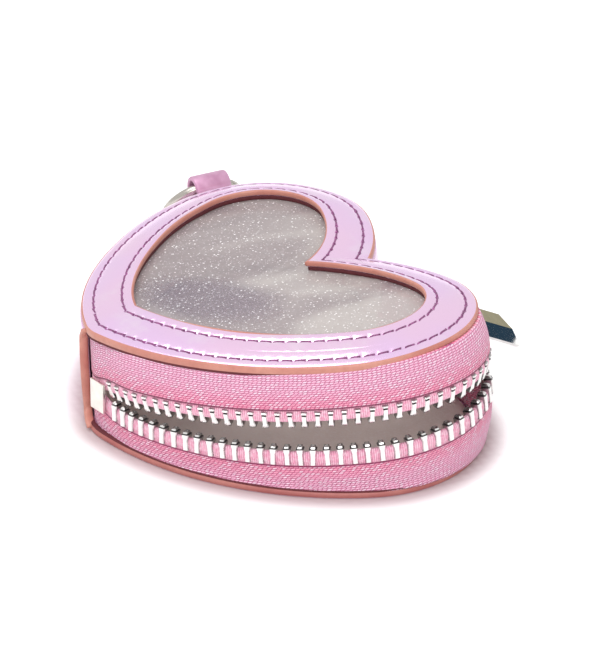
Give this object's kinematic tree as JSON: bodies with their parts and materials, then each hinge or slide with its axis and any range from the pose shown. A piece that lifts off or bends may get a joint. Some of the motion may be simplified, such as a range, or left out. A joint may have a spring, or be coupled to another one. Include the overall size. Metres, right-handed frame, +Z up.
{
  "type": "heart shaped coin purse",
  "caption": "Heart shaped coin purse with a clear window in its leather cover, a part-open metal zip round one side, a puller, and a ring on a leather tab.",
  "frame": {"origin": "on the underside of the base, on the heart's own axis, level with the middle of its length", "axes": "+Z up through the cover, -Y towards the heart's point, +X towards the zip"},
  "size_m": [0.1091, 0.0914, 0.0305],
  "materials": {
    "leather": "pearl metallic pink",
    "board": "plain",
    "suede": "brushed taupe",
    "thread": "waxed mauve",
    "tape": "pink twill",
    "film": "glitter, clear",
    "nickel": "bright nickel"
  },
  "bodies": {
    "purse": {"base_board": "board", "base_lining": "suede", "base_panel": "leather", "base_stitching": "thread", "bottom_stop": "nickel", "cover_backing": "suede", "cover_border": "leather", "cover_film": "film", "cover_stitching": "thread", "end_plate": "nickel", "end_tape": "tape", "end_teeth": "nickel", "gusset": "leather", "gusset_lining": "suede", "lower_tape": "tape", "lower_teeth": "nickel", "ring_tab": "leather", "tip_tape": "tape", "window_stitching": "thread"},
    "flap": {"flap_border": "leather", "flap_backing": "suede", "flap_film": "film", "flap_stitching": "thread", "flap_window_stitching": "thread", "upper_tape": "tape", "upper_teeth": "nickel"},
    "slider": {"slider": "nickel"},
    "link": {"puller_link": "nickel"},
    "puller": {"puller": "nickel"},
    "ring": {"carry_ring": "nickel"}
  },
  "joints": [
    {"name": "cover_lift", "type": "hinge", "parent": "purse", "child": "flap", "pos_m": [0.01645, 0.00018, 0.0281], "axis": [-0.2975, -0.9523, -0.0674], "range_deg": [0, 30]},
    {"name": "zip_travel", "type": "hinge", "parent": "purse", "child": "slider", "pos_m": [0.023, 0.011, 0.01311], "axis": [0, 0, -1], "range_deg": [0, 112], "deforming": ["lower_teeth", "end_teeth", "upper_teeth"]},
    {"name": "link_swing", "type": "hinge", "parent": "slider", "child": "link", "pos_m": [0.01939, 0.0367, 0.01311], "axis": [0.2817, 0.4283, 0.8586], "range_deg": [-50, 10]},
    {"name": "puller_tilt", "type": "hinge", "parent": "link", "child": "puller", "pos_m": [0.01345, 0.03893, 0.01395], "axis": [-0.8186, -0.0449, 0.5726], "range_deg": [-30, 30]},
    {"name": "ring_swing", "type": "hinge", "parent": "purse", "child": "ring", "pos_m": [-0.0518, 0.0143, 0.0169], "axis": [0, 1, 0], "range_deg": [-35, 70]}
  ]
}
